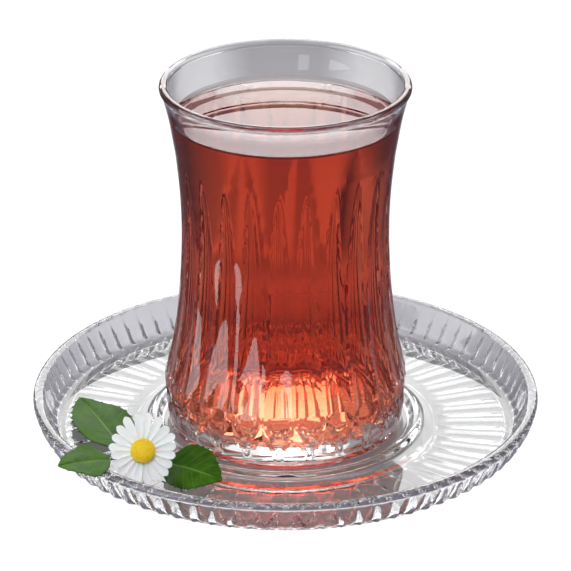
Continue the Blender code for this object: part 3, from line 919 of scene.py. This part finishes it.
def make_surround():
    """A card on the table all round the saucer, that only the glass and the tea mirror or show through.

    It starts under the saucer's rim. Its colours are painted light and shade: near the saucer it is pale
    behind and grey at the sides and in front. Further out it is dark all round, a painted shade, apart from
    two white strips of painted light behind the glass.
    """
    card = lay_sheet("painted_light_and_shade_card", CARD_RADIUS, 0)
    bpy.ops.object.mode_set(mode="EDIT")
    bpy.ops.mesh.select_all(action="SELECT")
    bpy.ops.mesh.inset(thickness=CARD_RADIUS - CARD_HOLE)
    bpy.ops.mesh.delete(type="FACE")
    bpy.ops.object.mode_set(mode="OBJECT")
    material, nodes, links, shader, place = new_finish("card_painted_light_and_shade")
    split = nodes.new("ShaderNodeSeparateXYZ")
    links.new(place, split.inputs["Vector"])
    heading = sums(nodes, links, "ARCTAN2", split.outputs["X"], split.outputs["Y"])
    aside = between(nodes, links, sums(nodes, links, "ABSOLUTE", heading), 0.0, 1.0, 0.0, pi)
    away = distance_from(nodes, links, place, (0.0, 0.0, 0.0))
    out = between(nodes, links, away, 0.0, 1.0, 0.0, CARD_REACH)
    # Painted light and shade: pale behind, grey at the sides and in front, dark further out, with white
    # strips of painted light behind the glass
    greys = colours(nodes, links, aside, CARD_LIGHT_AND_SHADE_GREYS)
    strips = colours(nodes, links, aside, [(angle / 180, (share,) * 3) for angle, share in CARD_LIGHT_STRIPS])
    far = colours(nodes, links, out, [(CARD_FAR_FROM[0], (0, 0, 0)), (CARD_FAR_FROM[1], (1, 1, 1))])
    table = mixed(nodes, links, far, greys, CARD_FAR)
    painted = mixed(nodes, links, sums(nodes, links, "MULTIPLY", strips, far), table, CARD_STRIP_LIGHT_WHITE)
    links.new(painted, shader.inputs["Base Color"])
    shader.inputs["Roughness"].default_value = 0.9
    shader.inputs["Specular IOR Level"].default_value = 0.0
    card.data.materials.append(material)
    card.visible_camera = False
    card.visible_diffuse = False
    card.visible_shadow = False


def soft_light(name, place, aim, width, height, brightness, shows):
    """A panel whose face is this bright, where the floor's own glow is 1."""
    data = bpy.data.lights.new(name, "AREA")
    data.shape = "RECTANGLE"
    data.size = width
    data.size_y = height
    data.energy = brightness * pi * width * height
    light = bpy.data.objects.new(name, data)
    bpy.context.scene.collection.objects.link(light)
    light.location = place
    light.rotation_euler = (Vector(aim) - Vector(place)).to_track_quat("-Z", "Y").to_euler()
    light.visible_camera = False
    light.visible_diffuse = "on_matt" in shows
    light.visible_glossy = "mirrored" in shows
    light.visible_transmission = "seen_through" in shows


def light_studio():
    """A grey room, darker on the camera's side, with soft panels behind, left, in front and above."""
    world = bpy.data.worlds.new("pale_room")
    bpy.context.scene.world = world
    world.use_nodes = True
    nodes, links = world.node_tree.nodes, world.node_tree.links
    background = nodes["Background"]
    place = nodes.new("ShaderNodeTexCoord").outputs["Generated"]
    split = nodes.new("ShaderNodeSeparateXYZ")
    links.new(place, split.inputs["Vector"])
    depth = between(nodes, links, split.outputs["Y"], 0.0, 1.0, *ROOM_SPAN)
    links.new(colours(nodes, links, depth, ROOM_GREYS), background.inputs["Color"])
    background.inputs["Strength"].default_value = 1.0
    for name, values in PANELS.items():
        soft_light(name, **values)


def set_camera():
    data = bpy.data.cameras.new("camera")
    data.sensor_width = SENSOR_MM
    data.lens = LENS_MM
    data.clip_start = 0.01
    camera = bpy.data.objects.new("camera", data)
    bpy.context.scene.collection.objects.link(camera)
    back, up = CAMERA_DISTANCE * cos(CAMERA_PITCH), CAMERA_DISTANCE * sin(CAMERA_PITCH)
    camera.location = (0.0, -back, AIM_HEIGHT + up)
    camera.rotation_euler = (pi / 2 - CAMERA_PITCH, 0.0, 0.0)
    scene = bpy.context.scene
    scene.camera = camera
    scene.view_settings.view_transform = "Standard"
    scene.cycles.max_bounces = 32
    scene.cycles.transmission_bounces = 32
    scene.cycles.glossy_bounces = 12


make_glass()
make_tea()
make_saucer()
make_petals()
make_disc()
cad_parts["daisy_calyx"].data.materials.clear()
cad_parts["daisy_calyx"].data.materials.append(calyx_green())
veined = leaf_green()
for leaf_name, leaf_values in LEAVES.items():
    make_leaf(leaf_name, veined, **leaf_values)
make_floor()
make_surround()
light_studio()
set_camera()
